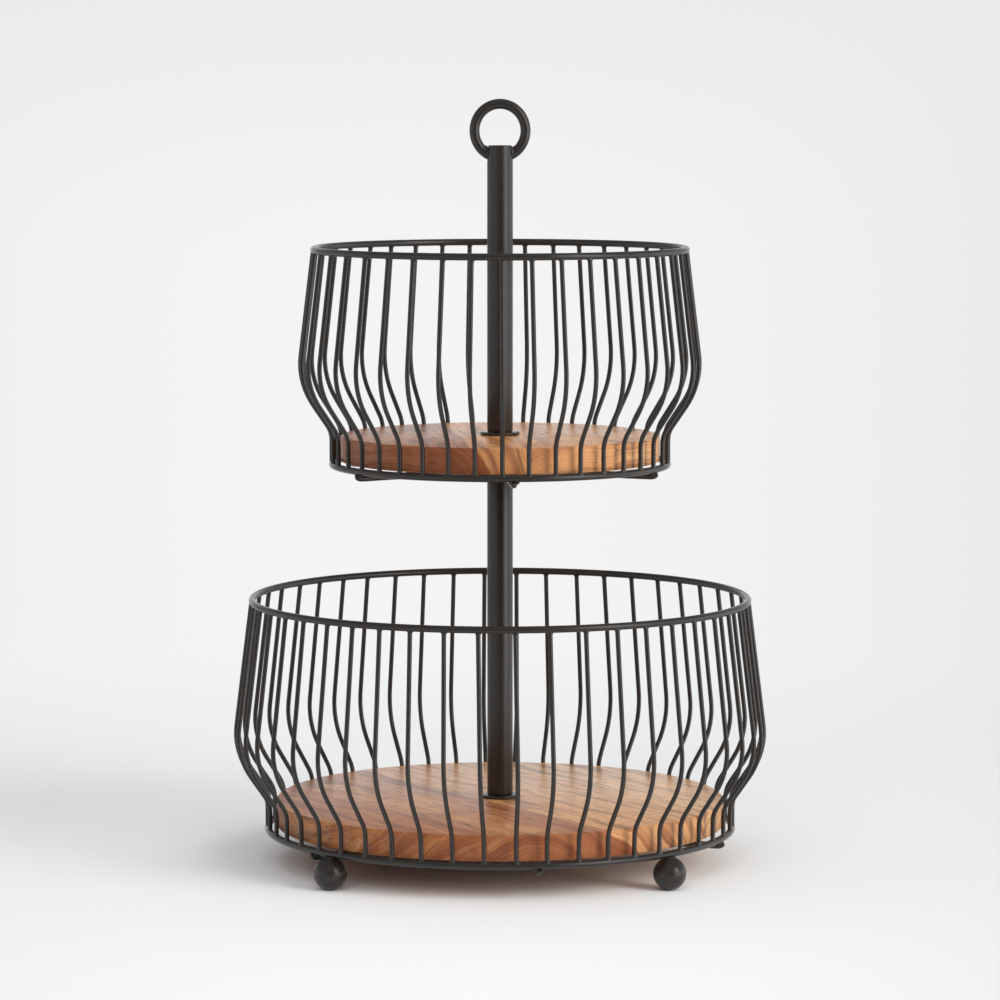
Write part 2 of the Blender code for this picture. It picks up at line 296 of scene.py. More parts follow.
def zinc_plate():
    """Bluish grey metal with faint clouds and fine marks round the pole."""
    zinc = Finish("bright_zinc_plate")
    place = zinc.place()
    cloud = zinc.noise(place, scale=260)
    marks = zinc.noise(zinc.stretched(place, MARK_SCALES), detail=2.0)
    zinc.set(base_color=zinc.mix(cloud, ZINC_DARK, ZINC_LIGHT), metallic=1.0,
             roughness=cloud * 0.12 + marks * 0.08 + 0.24)
    zinc.bump(marks, MARK_DEPTH)
    return zinc.material


ZINC = zinc_plate()

# %% [markdown]
# ## Oiled acacia
# Each board is glued up from staves, so tone, figure and ring direction jump from stave to
# stave while the grain runs one way. The wood is solid: the same growth rings that draw long
# lines on the top draw arcs on the edge. So the pattern is worked out in three dimensions, from
# each stave's distance to the pith of its own tree. Inside a certain radius lies the red-brown
# heartwood with its dark lines, outside it the honey-coloured sapwood. Two ramps along the
# board's width hold what differs between staves: how pale and how red each one is and its seed,
# then where its pith lies across and below the board and how far its heartwood reaches. The
# paleness and redness are partly each stave's own tone and partly painted light: staves towards
# the back and the right are made paler as a painted sheen and light, and those towards the left
# redder and darker as painted shade.

# %% Acacia
PALE_WOOD = (0.78, 0.45, 0.21, 1)
HONEY_WOOD = (0.65, 0.245, 0.060, 1)
RED_WOOD = (0.37, 0.098, 0.024, 1)
DARK_WOOD = (0.055, 0.014, 0.005, 1)
END_WOOD = (0.21, 0.055, 0.017, 1)
BOARD_SPAN = 0.40
TREE_SPAN = 0.80
SEED_STEP = 2.7
SEED_SLICE = 41
RING_SWAY = 0.016
RING_WAVER = 0.0035
HEART_INSIDE = 0.0082
HEART_OUTSIDE = 0.0108
PORE_DEPTH = 0.00010


def acacia(name, grain_turn, level, staves):
    """Acacia whose staves run at grain_turn from the X axis, level being the board's middle."""
    wood = Finish(name)
    place = wood.node("Mapping", {"vector_type": "TEXTURE"},
                      {"Vector": wood.place(), "Rotation": (0, 0, grain_turn)})
    along, across, height = wood.parts("SeparateXYZ", place)
    up = height - level
    look_stops = []
    tree_stops = []
    for edge, pale_and_sheen, red_and_shade, seed, pith, depth, heart in staves:
        stop = edge / BOARD_SPAN + 0.5
        look_stops.append((stop, (pale_and_sheen, red_and_shade, seed, 1)))
        tree_stops.append((stop, (pith / TREE_SPAN + 0.5, depth / TREE_SPAN + 0.5, heart, 1)))
    spot = across / BOARD_SPAN + 0.5
    look = wood.node("ValToRGB", {"interpolation": "CONSTANT", "stops": look_stops}, {"Fac": spot})
    pale_and_sheen, red_and_shade, seed = wood.parts("SeparateColor", look)
    tree = wood.node("ValToRGB", {"interpolation": "CONSTANT", "stops": tree_stops}, {"Fac": spot})
    pith, depth, heart_radius = wood.parts("SeparateColor", tree)

    grain_place = wood.node("CombineXYZ", {}, {"X": along + seed * SEED_STEP, "Y": across, "Z": up})
    sway = wood.noise(wood.stretched(grain_place, (7, 16, 16)), detail=2.0)
    waver = wood.noise(wood.stretched(grain_place, (28, 110, 110)), detail=2.0)
    side = across - (pith - 0.5) * TREE_SPAN
    rise = up + (depth - 0.5) * TREE_SPAN
    reach = (side * side + rise * rise) ** 0.5 + sway * RING_SWAY + waver * RING_WAVER

    def rings(across_scale, along_scale, detail, roughness):
        """Noise that follows the growth rings and runs out along the grain."""
        ring_place = wood.node("CombineXYZ", {}, {
            "X": reach * across_scale, "Y": along * along_scale, "Z": seed * SEED_SLICE})
        return wood.noise(ring_place, detail=detail, roughness=roughness)

    broad = rings(60, 4, 2.0, 0.5)
    bands = rings(190, 7, 3.0, 0.6)
    streak = rings(400, 9, 3.0, 0.62)
    fine = rings(900, 30, 2.0, 0.6)
    figure = wood.noise(wood.stretched(grain_place, (24, 60, 60)), detail=3.0)
    pores = wood.noise(wood.stretched(grain_place, (170, 1500, 1500)), detail=1.0)

    heart = wood.between(reach - heart_radius, HEART_OUTSIDE, HEART_INSIDE)
    # Stave redness is partly painted shade on the left, stave paleness partly painted sheen and
    # light at the back and right
    redness = wood.between(broad + red_and_shade * 0.7 + heart * 0.42 + (figure - 0.5) * 0.5, 0.45, 0.98)
    ground = wood.mix(redness, HONEY_WOOD, RED_WOOD)
    body = wood.mix(pale_and_sheen * (1.15 - redness * 0.5) * (1 - heart * 0.8), ground, PALE_WOOD)

    # Broad bands, dark lines, fine lines and pores, each laid over the ones before
    body = wood.mix(wood.between(bands, 0.49, 0.66) * (heart * 0.15 + 0.62), body, END_WOOD)
    body = wood.mix(wood.between(bands, 0.44, 0.32) * 0.25, body, PALE_WOOD)
    body = wood.mix(wood.between(streak, 0.50, 0.66) * (heart * 0.38 + 0.48), body, DARK_WOOD)
    body = wood.mix(wood.between(streak, 0.46, 0.34) * 0.30, body, PALE_WOOD)
    body = wood.mix(wood.between(fine, 0.52, 0.70) * 0.45, body, DARK_WOOD)
    body = wood.mix(wood.between(pores, 0.56, 0.66) * 0.50, body, DARK_WOOD)

    # Cut across the grain, the wood takes more oil and turns darker
    facing = wood.node("VectorMath", {"operation": "DOT_PRODUCT"},
                       {0: wood.node("NewGeometry", out="Normal"),
                        1: (math.cos(grain_turn), math.sin(grain_turn), 0)}, out="Value")
    end_grain = wood.node("Math", {"operation": "ABSOLUTE"}, {0: facing})
    body = wood.mix(heart * (1 - pale_and_sheen) * (end_grain * 0.22 + 0.06), body, DARK_WOOD)
    body = wood.mix(end_grain * (redness * 0.42 + heart * 0.12 + 0.30), body, END_WOOD)
    wood.set(base_color=body, roughness=fine * 0.12 + end_grain * 0.18 + 0.27,
             specular_ior_level=0.45)
    wood.bump(pores * 0.5 + fine * 0.5, PORE_DEPTH)
    return wood.material


LOWER_GRAIN_TURN = math.radians(-56)
UPPER_GRAIN_TURN = math.radians(-84)
# Each stave: start across, pale (partly painted sheen and light), red (partly painted shade),
# seed, pith across, pith below, heartwood
LOWER_STAVES = [
    (-0.200, 0.15, 0.52, 0.15, -0.080, 0.045, 0.00),
    (-0.101, 0.34, 0.42, 0.62, -0.072, 0.040, 0.00),
    (-0.018, 0.56, 0.05, 0.34, -0.030, 0.045, 0.052),
    (0.029, 0.60, 0.00, 0.81, -0.020, 0.060, 0.00),
    (0.080, 0.82, 0.00, 0.47, 0.140, 0.050, 0.00),
    (0.125, 0.75, 0.05, 0.08, 0.090, -0.050, 0.00),
]
UPPER_STAVES = [
    (-0.200, 0.22, 1.00, 0.44, -0.085, 0.050, 0.00),
    (-0.064, 0.34, -0.10, 0.19, -0.059, 0.018, 0.040),
    (0.010, 0.46, 0.15, 0.66, 0.060, 0.100, 0.00),
    (0.073, 0.62, 0.12, 0.90, 0.085, 0.090, 0.00),
]
LOWER_BOARD_LEVEL = 0.038
UPPER_BOARD_LEVEL = 0.3086
LOWER_WOOD = acacia("acacia_lower_board", LOWER_GRAIN_TURN, LOWER_BOARD_LEVEL, LOWER_STAVES)
UPPER_WOOD = acacia("acacia_upper_board", UPPER_GRAIN_TURN, UPPER_BOARD_LEVEL, UPPER_STAVES)
print("finishes:", [m.name for m in (COAT, ZINC, LOWER_WOOD, UPPER_WOOD)])

# %% [markdown]
# ## Three ways to make a round piece
# A ring of wire is a small circle spun once round the pole. A board, a washer or a tube is a
# rectangle spun the same way, its outer corners eased first. A bent wire is a circle extruded
# step by step along its path, turned a little at each step.

# %% Rings and turned pieces
def finish_piece(piece, name, material, replaced):
    """Name a piece, give it its material, shade it, put it under the root, and hide the CAD nodes
    it stands for.
    """
    piece.name = name
    piece.data.name = name
    piece.data.materials.clear()
    piece.data.materials.append(material)
    select_only(piece)
    bpy.ops.object.shade_smooth_by_angle(angle=SMOOTH_ANGLE)
    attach(piece, "root")
    if replaced:
        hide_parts(*replaced)
    print(name, len(piece.data.polygons), "faces")


def spin_round(steps):
    """Spin the selection once round the pole's axis."""
    bpy.ops.mesh.spin(steps=steps, angle=math.tau, center=(0, 0, 0), axis=(0, 0, 1))


def wire_ring(radius, wire, level, steps=160, sides=16):
    """A closed ring of round wire about the pole."""
    clear_selection()
    bpy.ops.mesh.primitive_circle_add(
        vertices=sides, radius=wire / 2, location=(radius, 0, level),
        rotation=(math.pi / 2, 0, 0))
    apply_place()
    ring = bpy.context.object
    start_edit(ring)
    spin_round(steps)
    stop_edit()
    return ring


def turned_piece(inner, outer, floor, top, ease, steps=96):
    """A flat or tall round piece with a hole, its outer corners eased."""
    middle = (inner + outer) / 2
    clear_selection()
    bpy.ops.mesh.primitive_plane_add(
        size=1, location=(middle, 0, (floor + top) / 2), rotation=(math.pi / 2, 0, 0))
    piece = bpy.context.object
    piece.scale = (outer - inner, top - floor, 1)
    apply_place()
    start_edit(piece)
    select_where(lambda point: point.co.x > middle)
    bpy.ops.mesh.bevel(offset=ease, segments=3, affect="VERTICES")
    bpy.ops.mesh.select_all(action="SELECT")
    bpy.ops.mesh.delete(type="ONLY_FACE")
    bpy.ops.mesh.select_all(action="SELECT")
    spin_round(steps)
    stop_edit()
    return piece


# %% Bent wires
def heading(start, end):
    """The turn from straight up towards +X of a step in the XZ plane."""
    return math.atan2(end.x - start.x, end.z - start.z)


def section_turns(path, closed):
    """How far each section along a path leans, halfway between the steps on its two sides."""
    count = len(path)
    steps = [heading(path[i], path[(i + 1) % count]) for i in range(count)]
    turns = []
    for index in range(count):
        before = steps[index - 1] if closed or index else steps[0]
        after = steps[index] if closed or index < count - 1 else steps[count - 2]
        bend = (after - before + math.pi) % math.tau - math.pi
        turns.append(before + bend / 2)
    return turns


def bent_wire(path, radii, sides=12, closed=False, widths=None):
    """A wire along a path in the XZ plane, widths being its sections' spread along Y."""
    turns = section_turns(path, closed)
    widths = widths or [1.0] * len(path)
    clear_selection()
    bpy.ops.mesh.primitive_circle_add(
        vertices=sides, radius=radii[0], fill_type="NOTHING" if closed else "NGON",
        location=path[0], rotation=(0, turns[0], 0))
    apply_place()
    wire = bpy.context.object
    start_edit(wire)
    bpy.ops.transform.resize(value=(1, widths[0], 1), center_override=path[0])
    for index in range(1, len(path)):
        bpy.ops.mesh.extrude_region_move(
            TRANSFORM_OT_translate={"value": path[index] - path[index - 1]})
        bend = turns[index] - turns[index - 1]
        bpy.ops.transform.rotate(value=-bend, orient_axis="Y", center_override=path[index])
        grow = radii[index] / radii[index - 1]
        spread = grow * widths[index] / widths[index - 1]
        bpy.ops.transform.resize(value=(grow, spread, grow), center_override=path[index])
    if closed:
        select_where(lambda edge: edge.is_boundary, "EDGE")
        bpy.ops.mesh.bridge_edge_loops()
    stop_edit()
    return wire


def round_the_pole(piece, turns, leans=None, level=0.0):
    """Copies of a piece that lies towards +X, one at each turn from the front, joined.

    A lean is how far a copy moves round the pole for each metre above a level.
    """
    copies = []
    for index, turn in enumerate(turns):
        copy = piece.copy()
        copy.data = piece.data.copy()
        if leans:
            slant = Matrix.Identity(4)
            slant[1][2] = leans[index]
            slant[1][3] = -leans[index] * level
            copy.data.transform(slant)
        copy.data.transform(Matrix.Rotation(turn - math.pi / 2, 4, "Z"))
        bpy.context.scene.collection.objects.link(copy)
        copies.append(copy)
    bpy.data.objects.remove(piece)
    return join(copies)


# %% [markdown]
# ## The sizes of the two cages
# They are the CAD model's own: radii to the middle of each wire, and heights above the middle
# of the base ring. Only the base rings, rims and uprights are drawn a little thicker than the
# CAD's wire, as coated wire looks.

# %% Sizes
RING_WIRE = 0.0045
CAGE_WIRE = 0.0030
ARM_WIRE = 0.0050
COATED_RING = 0.0051
COATED_CAGE_WIRE = 0.0034
BELLY_BEND = 0.060
BASE_BEND = 0.020
TIERS = {
    "lower": {"level": 0.02625, "wires": 48, "first": math.radians(3.75),
              "arms": math.radians(9.2), "base": 0.1724, "rim": 0.1836, "belly": 0.1979,
              "height": 0.1698, "belly_height": 0.0578, "bend_height": 0.0216},
    "upper": {"level": 0.29685, "wires": 40, "first": math.radians(0.7),
              "arms": math.radians(4.6), "base": 0.1239, "rim": 0.1371, "belly": 0.1493,
              "height": 0.1582, "belly_height": 0.0602, "bend_height": 0.0235},
}

# %% [markdown]
# ## The upright wires
# Each upright starts straight on the base ring, bends out to the belly and leans back in to
# the rim. Where it meets a ring, resistance welding has spread it into a small fillet along
# the ring, and the powder has filled the corner. So the path of one wire gets extra sections
# at both ends, where it widens along the ring.

# %% One wire's path
ARC_SHARE = 0.45
WIRE_SINK = 0.00035
FOOT_RISE = 0.0008
TOP_DROP = 0.0006
FOOT_STATIONS = (0.0, 0.0013, 0.0017, 0.0022, 0.0031)
FOOT_SPREAD = [2.20, 1.90, 1.42, 1.14, 1.0]
TOP_STATIONS = (0.0034, 0.0025, 0.0019, 0.0015, 0.0)
TOP_SPREAD = [1.0, 1.14, 1.48, 2.05, 2.5]


def corner_arc(before, corner, after, radius, pieces):
    """Points that round a corner of a path in the XZ plane."""
    back = (before - corner).normalized()
    onward = (after - corner).normalized()
    half = back.angle(onward) / 2
    room = min((before - corner).length, (after - corner).length) * ARC_SHARE
    tangent = min(radius / math.tan(half), room)
    radius = tangent * math.tan(half)
    centre = corner + (back + onward).normalized() * (radius / math.sin(half))
    first = corner + back * tangent - centre
    last = corner + onward * tangent - centre
    points = []
    for index in range(pieces + 1):
        share = index / pieces
        sweep = first.angle(last)
        mixed = (first * math.sin((1 - share) * sweep) + last * math.sin(share * sweep))
        points.append(centre + mixed / math.sin(sweep))
    return points


def upright_path(tier):
    """Sections of one upright wire: their places and their spread along the rings."""
    offset = (RING_WIRE - CAGE_WIRE) / 2 - WIRE_SINK
    level = tier["level"]
    foot = Vector((tier["base"] + offset, 0, level + FOOT_RISE))
    bend = Vector((tier["base"] + offset, 0, level + tier["bend_height"]))
    belly = Vector((tier["belly"], 0, level + tier["belly_height"]))
    top = Vector((tier["rim"] + offset, 0, level + tier["height"] - TOP_DROP))
    path = [foot + Vector((0, 0, station)) for station in FOOT_STATIONS]
    path += corner_arc(foot, bend, belly, BASE_BEND, 5)
    path += corner_arc(bend, belly, top, BELLY_BEND, 9)
    onward = (top - path[-1]).normalized()
    path += [path[-1].lerp(top, 0.5)]
    path += [top - onward * station for station in TOP_STATIONS]
    between = len(path) - len(FOOT_SPREAD) - len(TOP_SPREAD)
    return path, FOOT_SPREAD + [1.0] * between + TOP_SPREAD


# %% [markdown]
# The wires are set by hand in a jig, so none stands quite true. Each gets a small error of turn
# and of lean, and in the lower cage the front wires also fan apart towards the rim, as they do
# on the real basket. A lean is a sideways shear of a straight copy.

# %% Both sets of wires
WANDER = random.Random(11)
TURN_ERROR = math.radians(0.12)
LEAN_ERROR = 0.0045
FAN_LEAN = 0.0150
FAN_SHIFT = 0.0070
FAN_MIDDLE = math.radians(7)
FAN_WIDTH = math.radians(8)


def fan_lean(turn):
    """How much a wire of the lower cage leans round the pole, strongest at the front."""
    facing = max(0.0, math.cos(turn))
    return facing * (FAN_LEAN * math.tanh((turn - FAN_MIDDLE) / FAN_WIDTH) - FAN_SHIFT)


def upright_wires(name, tier, replaced, fanned):
    """All uprights of one cage, each with its own small error."""
    path, spread = upright_path(tier)
    wire = bent_wire(path, [COATED_CAGE_WIRE / 2] * len(path), widths=spread)
    pitch = math.tau / tier["wires"]
    turns = []
    leans = []
    for index in range(tier["wires"]):
        turn = tier["first"] + (index - tier["wires"] // 2) * pitch
        turns.append(turn + WANDER.uniform(-TURN_ERROR, TURN_ERROR))
        leans.append(WANDER.uniform(-LEAN_ERROR, LEAN_ERROR) + (fan_lean(turn) if fanned else 0))
    wires = round_the_pole(wire, turns, leans, tier["level"])
    finish_piece(wires, name, COAT, replaced)


for tier_name, tier in TIERS.items():
    upright_wires(f"{tier_name}_upright_wires", tier, [f"{tier_name}_wire_cage"],
                  fanned=tier_name == "lower")

# %% [markdown]
# ## The rings
# Base ring, rim and support ring are wire bent round and butt-welded. The support ring lies on
# the arms under the board, level with the base ring.

# %% Base, rim and support rings
SUPPORT_RING_SHARE = 0.6
for tier_name, tier in TIERS.items():
    ring = wire_ring(tier["base"], COATED_RING, tier["level"])
    finish_piece(ring, f"{tier_name}_base_ring", COAT, [])
    ring = wire_ring(tier["rim"], COATED_RING, tier["level"] + tier["height"])
    finish_piece(ring, f"{tier_name}_rim", COAT, [f"{tier_name}_rim_ring"])
    ring = wire_ring(tier["base"] * SUPPORT_RING_SHARE, RING_WIRE, tier["level"], steps=96)
    finish_piece(ring, f"{tier_name}_inner_ring", COAT, [f"{tier_name}_support_ring"])

# %% [markdown]
# ## Weld beads
# Arms, balls and the handle are welded on by hand, which leaves small uneven lumps. A bead
# starts as a sphere, is squashed and pushed about a little, and sinks into what it joins.

# %% Weld beads
BEAD_LUMPS = 0.11


def weld_bead(place, size, seed):
    """An uneven lump of weld at a place, of a size along X, Y and Z."""
    clear_selection()
    bpy.ops.mesh.primitive_uv_sphere_add(segments=14, ring_count=9, radius=0.5, location=place)
    bead = bpy.context.object
    bead.scale = size
    apply_place()
    start_edit(bead)
    bpy.ops.transform.vertex_random(offset=min(size) * BEAD_LUMPS, seed=seed)
    bpy.ops.mesh.vertices_smooth(factor=0.4, repeat=2)
    stop_edit()
    return bead


# %% [markdown]
# ## The arms
# Six rods run under the base ring to the hub. Their ends show just under the ring, rounded by
# the weld, and a fillet on each side draws them up into it.

# %% Arms under each cage
ARM_COUNT = 6
ARM_START = 0.0115
ARM_START_EASE = 0.0006
ARM_PAST_RING = 0.0005
ARM_TIPS = (0.0060, 0.0040, 0.0024, 0.0012, 0.0004, 0.0)
ARM_SHARES = (0.84, 1.0, 1.0, 0.97, 0.89, 0.75, 0.55, 0.28)
ARM_BEAD = (0.0038, 0.0036, 0.0028)
ARM_BEAD_OUT = 0.0002
ARM_BEAD_ASIDE = 0.0024
ARM_BEAD_SINK = 0.0006
ARM_BEAD_SEED = 5


def support_arms(name, tier, replaced):
    """The rods from the hub to just past the base ring, welded to it on both sides."""
    level = tier["level"] - RING_WIRE / 2 - ARM_WIRE / 2
    outer = tier["base"] + RING_WIRE / 2 + ARM_PAST_RING
    stations = [ARM_START, ARM_START + ARM_START_EASE] + [outer - tip for tip in ARM_TIPS]
    path = []
    for index, station in enumerate(stations):
        drawn_up = (1 - ARM_SHARES[index]) * ARM_WIRE / 2 if index > 1 else 0
        path.append(Vector((station, 0, level + drawn_up)))
    arm = bent_wire(path, [ARM_WIRE / 2 * share for share in ARM_SHARES], sides=16)
    crossing = level + ARM_WIRE / 2 - ARM_BEAD_SINK
    beads = []
    for index, side in enumerate((-1, 1)):
        bead_place = (tier["base"] + ARM_BEAD_OUT, side * ARM_BEAD_ASIDE, crossing)
        beads.append(weld_bead(bead_place, ARM_BEAD, ARM_BEAD_SEED + index))
    arm = join([arm, *beads])
    turns = [tier["arms"] + index * math.tau / ARM_COUNT for index in range(ARM_COUNT)]
    finish_piece(round_the_pole(arm, turns), name, COAT, replaced)


for tier_name, tier in TIERS.items():
    nodes = [f"{tier_name}_arm_{index + 1}" for index in range(ARM_COUNT)]
    support_arms(f"{tier_name}_arms", tier, nodes)

# %% [markdown]
# ## Hub plates and washers
# A plate lies on each set of arms and lets the bolt or the stud through, and a black washer lies
# on the board under the pole. Both are turned pieces with their edges eased.

# %% Hub plates and washers
BOARD_THICKNESS = 0.019
SEAT_GAP = 0.0003
METAL_EASE = 0.0005
BOLT_HOLE_RADIUS = 0.0043
HUB_RADIUS = 0.022
POLE_WASHER_RADIUS = 0.0145
POLE_WASHER_THICKNESS = 0.0020
for tier_name, tier in TIERS.items():
    low = tier["level"] - RING_WIRE / 2 + SEAT_GAP
    high = tier["level"] + RING_WIRE / 2 - SEAT_GAP
    plate = turned_piece(BOLT_HOLE_RADIUS, HUB_RADIUS, low, high, METAL_EASE)
    finish_piece(plate, f"{tier_name}_hub", COAT, [f"{tier_name}_hub_plate"])
    low = tier["level"] + RING_WIRE / 2 + BOARD_THICKNESS + SEAT_GAP
    high = low + POLE_WASHER_THICKNESS
    washer = turned_piece(BOLT_HOLE_RADIUS, POLE_WASHER_RADIUS, low, high, METAL_EASE)
    finish_piece(washer, f"{tier_name}_pole_washer", COAT, [f"{tier_name}_disc_washer"])

# %% [markdown]
# ## The boards
# Each board is sawn round, sanded and eased by hand. It is a turned piece with a small round
# on both edges and a hole for the bolt or the stud.

# %% Boards
BOARD_HOLE_RADIUS = 0.005
BOARD_CLEARANCE = 0.004
BOARD_EASE = 0.0011
for tier_name, tier in TIERS.items():
    floor = tier["level"] + RING_WIRE / 2
    radius = tier["base"] - RING_WIRE / 2 - BOARD_CLEARANCE
    board = turned_piece(BOARD_HOLE_RADIUS, radius, floor, floor + BOARD_THICKNESS, BOARD_EASE,
                         steps=240)
    wood = LOWER_WOOD if tier_name == "lower" else UPPER_WOOD
    finish_piece(board, f"{tier_name}_board", wood, [f"{tier_name}_wood_disc"])

# %% [markdown]
# ## The pole
# The pole is two lengths of 19 mm tube. The upper one has a slot across its top end, in which
# the ring handle is welded, so it is turned first and then cut with a Boolean.

# %% Pole tubes
POLE_RADIUS = 0.0095
POLE_BORE = 0.008
LOWER_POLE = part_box("lower_tube")
UPPER_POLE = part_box("upper_tube")
HANDLE_WIRE = 0.0075
SLOT_SLACK = 0.0006
SLOT_FLOOR = 0.5198
SLOT_TOP = 0.5400
SLOT_LENGTH = 0.03

lower_pole = turned_piece(POLE_BORE, POLE_RADIUS, LOWER_POLE[0].z, LOWER_POLE[1].z, METAL_EASE)
finish_piece(lower_pole, "lower_pole", COAT, ["lower_tube"])


def slot_cutter(width, floor, top):
    """A solid with a round floor, running along X, that cuts the slot."""
    middle = floor + width / 2
    clear_selection()
    bpy.ops.mesh.primitive_cylinder_add(
        vertices=32, radius=width / 2, depth=SLOT_LENGTH, location=(0, 0, middle),
        rotation=(0, math.pi / 2, 0))
    apply_place()
    cutter = bpy.context.object
    start_edit(cutter)
    select_where(lambda point: point.co.z > middle + WELD_DISTANCE)
    bpy.ops.transform.translate(value=(0, 0, top - middle))
    stop_edit()
    return cutter


upper_pole = turned_piece(POLE_BORE, POLE_RADIUS, UPPER_POLE[0].z, UPPER_POLE[1].z, METAL_EASE)
cut_with(upper_pole, slot_cutter(HANDLE_WIRE + SLOT_SLACK, SLOT_FLOOR, SLOT_TOP), "DIFFERENCE")
finish_piece(upper_pole, "upper_pole", COAT, ["upper_tube"])

# %% [markdown]
# ## The ring handle
# It is 7.5 mm rod bent to a ring that is a little taller than wide, standing in the pole's slot
# and welded there on both sides.

# %% Ring handle
HANDLE_LEVEL = 0.5420
HANDLE_HALF_WIDTH = 0.01875
HANDLE_HALF_HEIGHT = 0.0196
HANDLE_SECTIONS = 72
# Each bead's place, size and seed
HANDLE_BEADS = [
    ((-0.0102, -0.0006, 0.5293), (0.0034, 0.0062, 0.0040), 21),
    ((-0.0088, -0.0036, 0.5262), (0.0026, 0.0026, 0.0070), 23),
    ((0.0086, -0.0040, 0.5268), (0.0032, 0.0028, 0.0072), 22),
    ((0.0102, 0.0006, 0.5292), (0.0032, 0.0060, 0.0034), 24),
]


def handle():
    """The closed ring of rod, without its welds."""
    path = []
    for index in range(HANDLE_SECTIONS):
        angle = math.tau * index / HANDLE_SECTIONS
        path.append(Vector((HANDLE_HALF_WIDTH * math.sin(angle), 0,
                            HANDLE_LEVEL + HANDLE_HALF_HEIGHT * math.cos(angle))))
    return bent_wire(path, [HANDLE_WIRE / 2] * HANDLE_SECTIONS, sides=20, closed=True)


ring = handle()
beads = [weld_bead(*bead) for bead in HANDLE_BEADS]
finish_piece(join([ring, *beads]), "handle", COAT, ["ring_handle"])

# %% [markdown]
# ## The ball feet
# Each foot is a 24 mm steel ball welded under the base ring. The weld stands as a short
# collar between them, so the ball's top is drawn up into the ring.

# %% Ball feet
FOOT_RADIUS = 0.012
FOOT_TURNS = {"front_left": -45, "front_right": 45, "rear_right": 135, "rear_left": -135}
FOOT_SEED = 31
COLLAR_START = 1.955
COLLAR_RISE = 0.0009
COLLAR_TAPER = 0.85
# Each bead's place from the ball's axis, and its size
FOOT_BEADS = [
    ((0.0012, -0.0026, 0.0237), (0.0044, 0.0040, 0.0022)),
    ((0.0008, 0.0027, 0.0237), (0.0040, 0.0036, 0.0020)),
]


def ball_foot(turn, seed):
    """A ball under the base ring with its weld collar and beads."""
    distance = TIERS["lower"]["base"]
    clear_selection()
    bpy.ops.mesh.primitive_uv_sphere_add(
        segments=48, ring_count=28, radius=FOOT_RADIUS, location=(distance, 0, FOOT_RADIUS))
    apply_place()
    ball = bpy.context.object
    start_edit(ball)
    select_where(lambda face: face.calc_center_median().z > FOOT_RADIUS * COLLAR_START, "FACE")
    bpy.ops.mesh.extrude_region_move(TRANSFORM_OT_translate={"value": (0, 0, COLLAR_RISE)})
    bpy.ops.transform.resize(value=(COLLAR_TAPER, COLLAR_TAPER, 1),
                             center_override=(distance, 0, FOOT_RADIUS * 2))
    stop_edit()
    beads = []
    for index, ((out, aside, height), size) in enumerate(FOOT_BEADS):
        beads.append(weld_bead((distance + out, aside, height), size, seed + index))
    return round_the_pole(join([ball, *beads]), [math.radians(turn)])


for number, (place, turn) in enumerate(FOOT_TURNS.items()):
    foot = ball_foot(turn, FOOT_SEED + len(FOOT_BEADS) * number)
    finish_piece(foot, f"ball_{place}", COAT, [f"foot_{place}"])

# %% [markdown]
# ## The bolt below
# A hexagon bolt and a washer close the stack from under the lower hub. The bolt's head is a
# six-sided prism whose corners a chamfer tool has cut round.

# %% Bolt and washer
BOLT_RADIUS = 0.004
BOLT_HEAD_HEIGHT = 0.0053
BOLT_HEAD_WIDTH = 0.013
CHAMFER_RADIUS = 0.0076
CHAMFER_EASE = 0.0009
CHAMFER_SPARE = 0.002
SHANK_OVERLAP = 0.001
BOLT_WASHER_RADIUS = 0.008
BOLT_WASHER_EASE = 0.0003


def hexagon_bolt():
    """A chamfered hexagon head on a plain shank."""
    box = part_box("base_bolt")
    head_low = box[0].z
    head_high = head_low + BOLT_HEAD_HEIGHT
    clear_selection()
    bpy.ops.mesh.primitive_cylinder_add(
        vertices=6, radius=BOLT_HEAD_WIDTH / 2 / math.cos(math.pi / 6),
        depth=head_high - head_low, location=(0, 0, (head_high + head_low) / 2))
    apply_place()
    head = bpy.context.object
    chamfer = turned_piece(0.0, CHAMFER_RADIUS, head_low, head_high + CHAMFER_SPARE, CHAMFER_EASE)
    cut_with(head, chamfer, "INTERSECT")
    shank_low = head_high - SHANK_OVERLAP
    clear_selection()
    bpy.ops.mesh.primitive_cylinder_add(
        vertices=32, radius=BOLT_RADIUS, depth=box[1].z - shank_low,
        location=(0, 0, (box[1].z + shank_low) / 2))
    apply_place()
    shank = bpy.context.object
    return join([head, shank])


finish_piece(hexagon_bolt(), "hexagon_bolt", ZINC, ["base_bolt"])
WASHER_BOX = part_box("base_washer")
washer = turned_piece(BOLT_HOLE_RADIUS, BOLT_WASHER_RADIUS, WASHER_BOX[0].z, WASHER_BOX[1].z,
                      BOLT_WASHER_EASE, steps=64)
finish_piece(washer, "bolt_washer", ZINC, ["base_washer"])

# %% [markdown]
# ## Pieces that stay as the CAD has them
# The threaded plugs and the stud lie inside the pole. Their shape is right, so they only get
# the zinc finish.

# %% Finish on the CAD nodes that stay
STAYING = ("lower_tube_bottom_insert", "lower_tube_top_insert", "upper_tube_insert", "tier_stud")
for name in STAYING:
    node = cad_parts[name]
    node.data.materials.clear()
    node.data.materials.append(ZINC)
print("zinc on", ", ".join(STAYING))

# %% [markdown]
# ## The studio
# A pale floor fades into a pale backdrop. Both are painted darker towards the sides of the view,
# a painted fall-off of the light round a brighter middle. The key is a soft box on the right,
# small enough that each wire throws its own soft shadow on the board. A weak lamp at the front
# and the sky fill the shadows. Gloss sees neither lamp but a room of its own: light at the back
# and at both sides, brightest where the key stands, and dark behind the camera. That keeps the
# middle of every wire black and its flanks grey, draws a light band down the pole, and puts a
# sheen on the wood.

